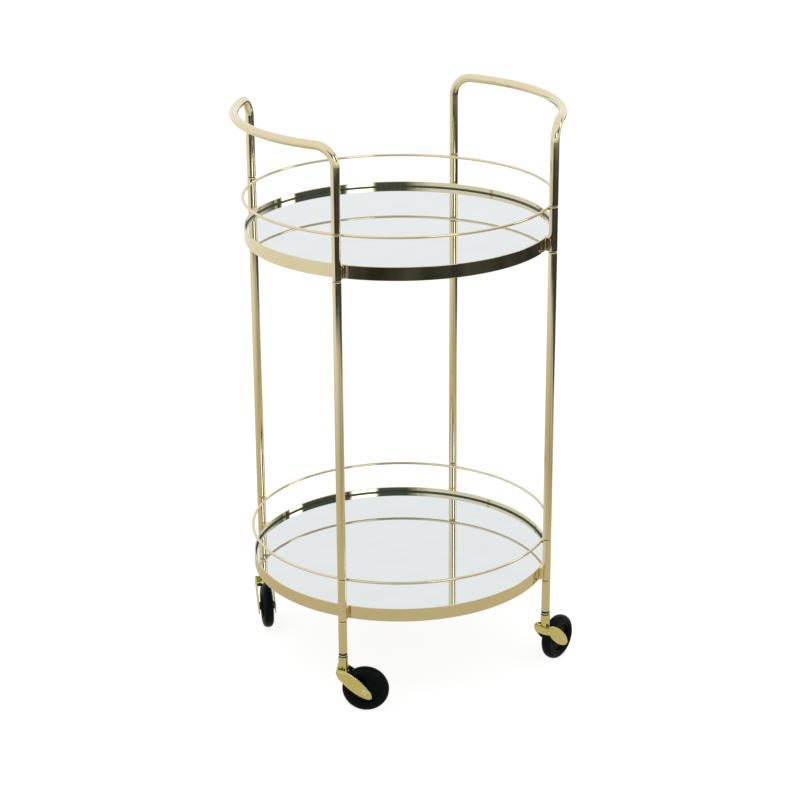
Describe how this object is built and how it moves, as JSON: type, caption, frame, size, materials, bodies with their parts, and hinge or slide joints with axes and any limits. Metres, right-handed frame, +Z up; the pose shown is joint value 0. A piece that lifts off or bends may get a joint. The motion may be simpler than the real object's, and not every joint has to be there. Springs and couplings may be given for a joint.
{
  "type": "bar cart",
  "caption": "Round bar cart with mirror trays in polished gold hoops, wire gallery rails, bent tube handles and swivel casters.",
  "frame": {"origin": "on the floor, below the middle of the round trays", "axes": "+Z up, the handles on the -X and +X sides, +Y to the rear, and the legs halfway between the axes"},
  "size_m": [0.4804, 0.4554, 0.8515],
  "materials": {
    "gold_tube": "polished champagne gold plating on steel tube",
    "gold_band": "mirror-polished champagne gold plating on steel strip",
    "gold_caster": "polished yellow gold plating",
    "mirror": "silvered mirror, ground edge",
    "tray_floor": "satin gold",
    "chrome_ring": "polished",
    "steel": "zinc plated",
    "black_plastic": "semi-gloss black",
    "tyre": "semi-gloss black rubber"
  },
  "bodies": {
    "frame": {"front_left_caster_bearing_ring": "chrome_ring", "front_left_caster_lower_washer": "black_plastic", "front_left_caster_stem": "steel", "front_left_caster_upper_washer": "black_plastic", "front_right_caster_bearing_ring": "chrome_ring", "front_right_caster_lower_washer": "black_plastic", "front_right_caster_stem": "steel", "front_right_caster_upper_washer": "black_plastic", "left_handle_tube": "gold_tube", "lower_gallery_rail": "gold_tube", "lower_leg_front_left": "gold_tube", "lower_leg_front_right": "gold_tube", "lower_leg_rear_left": "gold_tube", "lower_leg_rear_right": "gold_tube", "lower_post_front_left": "gold_tube", "lower_post_front_right": "gold_tube", "lower_post_rear_left": "gold_tube", "lower_post_rear_right": "gold_tube", "lower_tray_band": "gold_band", "lower_tray_floor": "tray_floor", "lower_tray_mirror": "mirror", "middle_leg_front_left": "gold_tube", "middle_leg_front_right": "gold_tube", "middle_leg_rear_left": "gold_tube", "middle_leg_rear_right": "gold_tube", "rear_left_caster_bearing_ring": "chrome_ring", "rear_left_caster_lower_washer": "black_plastic", "rear_left_caster_stem": "steel", "rear_left_caster_upper_washer": "black_plastic", "rear_right_caster_bearing_ring": "chrome_ring", "rear_right_caster_lower_washer": "black_plastic", "rear_right_caster_stem": "steel", "rear_right_caster_upper_washer": "black_plastic", "right_handle_tube": "gold_tube", "upper_gallery_rail": "gold_tube", "upper_post_front_left": "gold_tube", "upper_post_front_right": "gold_tube", "upper_post_rear_left": "gold_tube", "upper_post_rear_right": "gold_tube", "upper_tray_band": "gold_band", "upper_tray_floor": "tray_floor", "upper_tray_mirror": "mirror"},
    "front_left_caster": {"front_left_caster_fork": "gold_caster", "front_left_wheel_axle": "gold_caster"},
    "front_left_wheel": {"front_left_wheel_tyre": "tyre", "front_left_wheel_core": "black_plastic"},
    "front_right_caster": {"front_right_caster_fork": "gold_caster", "front_right_wheel_axle": "gold_caster"},
    "front_right_wheel": {"front_right_wheel_tyre": "tyre", "front_right_wheel_core": "black_plastic"},
    "rear_right_caster": {"rear_right_caster_fork": "gold_caster", "rear_right_wheel_axle": "gold_caster"},
    "rear_right_wheel": {"rear_right_wheel_tyre": "tyre", "rear_right_wheel_core": "black_plastic"},
    "rear_left_caster": {"rear_left_caster_fork": "gold_caster", "rear_left_wheel_axle": "gold_caster"},
    "rear_left_wheel": {"rear_left_wheel_tyre": "tyre", "rear_left_wheel_core": "black_plastic"}
  },
  "joints": [
    {"name": "front_left_swivel", "type": "hinge", "parent": "frame", "child": "front_left_caster", "pos_m": [-0.16582, -0.16582, 0.07], "axis": [0, 0, 1], "continuous": true},
    {"name": "front_left_roll", "type": "hinge", "parent": "front_left_caster", "child": "front_left_wheel", "pos_m": [-0.13734, -0.18147, 0.0345], "axis": [0.4818, 0.8763, 0], "continuous": true},
    {"name": "front_right_swivel", "type": "hinge", "parent": "frame", "child": "front_right_caster", "pos_m": [0.16582, -0.16582, 0.07], "axis": [0, 0, 1], "continuous": true},
    {"name": "front_right_roll", "type": "hinge", "parent": "front_right_caster", "child": "front_right_wheel", "pos_m": [0.19454, -0.15061, 0.0345], "axis": [-0.4679, 0.8838, 0], "continuous": true},
    {"name": "rear_right_swivel", "type": "hinge", "parent": "frame", "child": "rear_right_caster", "pos_m": [0.16582, 0.16582, 0.07], "axis": [0, 0, 1], "continuous": true},
    {"name": "rear_right_roll", "type": "hinge", "parent": "rear_right_caster", "child": "rear_right_wheel", "pos_m": [0.19761, 0.17257, 0.0345], "axis": [-0.2079, 0.9781, 0], "continuous": true},
    {"name": "rear_left_swivel", "type": "hinge", "parent": "frame", "child": "rear_left_caster", "pos_m": [-0.16582, 0.16582, 0.07], "axis": [0, 0, 1], "continuous": true},
    {"name": "rear_left_roll", "type": "hinge", "parent": "rear_left_caster", "child": "rear_left_wheel", "pos_m": [-0.17357, 0.13426, 0.0345], "axis": [0.9711, -0.2385, 0], "continuous": true}
  ]
}
